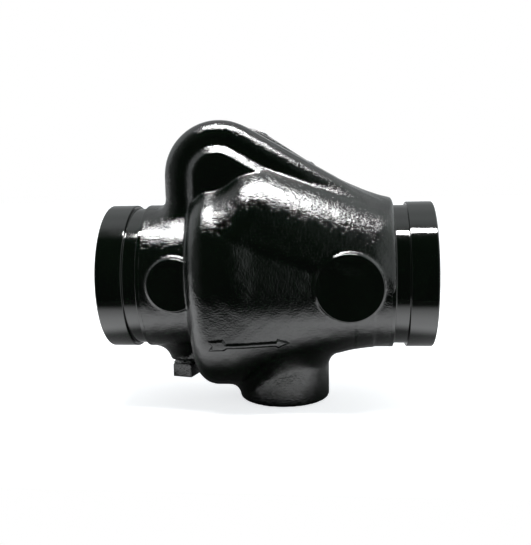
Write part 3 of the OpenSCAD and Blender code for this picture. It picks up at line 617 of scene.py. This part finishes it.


# Place, front edge, spread and softness of the painted shade in the table's gloss.
shade_x, shade_front, shade_spread, shade_soft = 0.092, -0.062, 0.3, 0.014
painted_light_and_shade = floor_mesh.attributes.new("painted_light_and_shade", "FLOAT", "POINT")
painted_light_and_shade.data.foreach_set("value", painted_table_light(*spots.T).astype(np.float32))
# The gloss sees the paper black, glowing with the painted light and shade; the camera sees it white with its own
# shadow.
paper_tone, camera_lift = 0.8, 0.75
pale = new_finish("pale_floor", (paper_tone, paper_tone, paper_tone), 0.0, 0.9)
paper = pale.node_tree.nodes["Principled BSDF"]
paper.inputs["Emission Color"].default_value = (0.97, 0.985, 1.0, 1)
seen = node(pale, "LightPath")
painted_glow = node(pale, "Attribute")
painted_glow.attribute_name = "painted_light_and_shade"
painted_in_gloss = node(pale, "Math")
painted_in_gloss.operation = "MULTIPLY"
shown = node(pale, "Math")
shown.operation = "MULTIPLY_ADD"
shown.inputs[1].default_value = camera_lift
wire(pale, painted_glow, "Fac", painted_in_gloss, 0)
wire(pale, seen, "Is Glossy Ray", painted_in_gloss, 1)
wire(pale, seen, "Is Camera Ray", shown, 0)
wire(pale, painted_in_gloss, "Value", shown, 2)
wire(pale, shown, "Value", paper, "Emission Strength")
tone = node(pale, "MapRange", To_Min=paper_tone, To_Max=0.0)
wire(pale, seen, "Is Glossy Ray", tone, "Value")
wire(pale, tone, "Result", paper, "Base Color")
floor_mesh.materials.append(pale)

world = bpy.data.worlds.new("studio")
bpy.context.scene.world = world
world.use_nodes = True
room = world.node_tree.nodes
links = world.node_tree.links
room.clear()


def light_ramp(stops, tint):
    """Colour ramp of grey light: pairs of place and strength, each strength times the tint."""
    ramp = room.new("ShaderNodeValToRGB")
    for at, value in stops:
        ramp.color_ramp.elements.new(at).color = (*(value * part for part in tint), 1)
    ramp.color_ramp.elements.remove(ramp.color_ramp.elements[0])
    ramp.color_ramp.elements.remove(ramp.color_ramp.elements[-1])
    return ramp


# The room's light goes by the arc from the dark front (0) over the top (0.5) to the back (1), and a window on the
# outlet side and a lighter wall on the inlet side are added to it.
room_arc = ((0.0, 0.03), (0.38, 0.03), (0.45, 0.3), (0.51, 0.9), (0.57, 1.0), (0.64, 0.8), (0.72, 0.7),
            (0.8, 0.5), (0.97, 0.45))
side_light = ((0.0, 0.3), (0.1, 0.2), (0.2, 0.1), (0.3, 0.0), (0.66, 0.0), (0.72, 0.5), (0.8, 1.0), (0.9, 1.0))
direction = room.new("ShaderNodeTexCoord")
parts = room.new("ShaderNodeSeparateXYZ")
links.new(direction.outputs["Generated"], parts.inputs[0])
front = room.new("ShaderNodeMath")
front.operation = "MULTIPLY"
front.inputs[1].default_value = -1.0
links.new(parts.outputs["Y"], front.inputs[0])
arc = room.new("ShaderNodeMath")
arc.operation = "ARCTAN2"
links.new(parts.outputs["Z"], arc.inputs[0])
links.new(front.outputs[0], arc.inputs[1])
over = room.new("ShaderNodeMapRange")
over.inputs["From Max"].default_value = math.pi
links.new(arc.outputs[0], over.inputs["Value"])
wall_light = light_ramp(room_arc, (0.95, 0.98, 1.0))
links.new(over.outputs["Result"], wall_light.inputs["Fac"])
aside = room.new("ShaderNodeMapRange")
aside.inputs["From Min"].default_value = -1.0
links.new(parts.outputs["X"], aside.inputs["Value"])
window = light_ramp(side_light, (0.8, 0.84, 0.84))
links.new(aside.outputs["Result"], window.inputs["Fac"])
whole = room.new("ShaderNodeVectorMath")
whole.operation = "ADD"
links.new(wall_light.outputs["Color"], whole.inputs[0])
links.new(window.outputs["Color"], whole.inputs[1])
path = room.new("ShaderNodeLightPath")
view = room.new("ShaderNodeMix")
view.data_type = "RGBA"
view.inputs["B"].default_value = (1, 1, 1, 1)
sky = room.new("ShaderNodeBackground")
out = room.new("ShaderNodeOutputWorld")
links.new(path.outputs["Is Camera Ray"], view.inputs["Factor"])
links.new(whole.outputs[0], view.inputs["A"])
links.new(view.outputs["Result"], sky.inputs["Color"])
links.new(sky.outputs[0], out.inputs[0])

# Lamp: one soft box over the valve, a little in front of it. What it sheds evenly is at the plain level, and its
# bright face, which only the gloss shows, hangs just under it.
box_lean, box_long, box_wide, box_x = math.radians(14), 0.43, 0.07, 0.085
for lamp_name, watts, box_high, glossy in (("soft_box", 3.6, 0.62, False), ("soft_box_face", 12.0, 0.6, True)):
    lamp_data = bpy.data.lights.new(lamp_name, "AREA")
    lamp_data.shape = "RECTANGLE"
    lamp_data.size, lamp_data.size_y = box_long, box_wide
    lamp_data.energy = watts
    lamp = bpy.data.objects.new(lamp_name, lamp_data)
    lamp.location = (box_x, -box_high * math.sin(box_lean), box_high * math.cos(box_lean))
    lamp.rotation_euler = (box_lean, 0, 0)
    lamp.visible_glossy, lamp.visible_diffuse = glossy, not glossy
    bpy.context.scene.collection.objects.link(lamp)

# Camera: at arm's length, turned a little to the outlet and looking slightly down.
turn, drop, roll = math.radians(5.68), math.radians(8.0), math.radians(-1.14)
aim, away = Vector((0.09594, 0, 0.00134)), 0.46
focal_px, image_w, sensor = 732.2, 531, 36
back_way = Vector((math.sin(turn) * math.cos(drop), -math.cos(turn) * math.cos(drop), math.sin(drop)))
right_way = (-back_way).cross(Vector((0, 0, 1))).normalized()
up_way = right_way.cross(-back_way)
camera_x = right_way * math.cos(roll) + up_way * math.sin(roll)
camera_y = up_way * math.cos(roll) - right_way * math.sin(roll)
camera_data = bpy.data.cameras.new("camera")
camera_data.sensor_fit = "HORIZONTAL"
camera_data.sensor_width = sensor
camera_data.lens = sensor * focal_px / image_w
camera = bpy.data.objects.new("camera", camera_data)
camera.matrix_world = Matrix.Translation(aim + back_way * away) @ Matrix(
    (camera_x, camera_y, back_way)).transposed().to_4x4()
bpy.context.scene.collection.objects.link(camera)
bpy.context.scene.camera = camera
bpy.context.scene.view_settings.view_transform = "Standard"
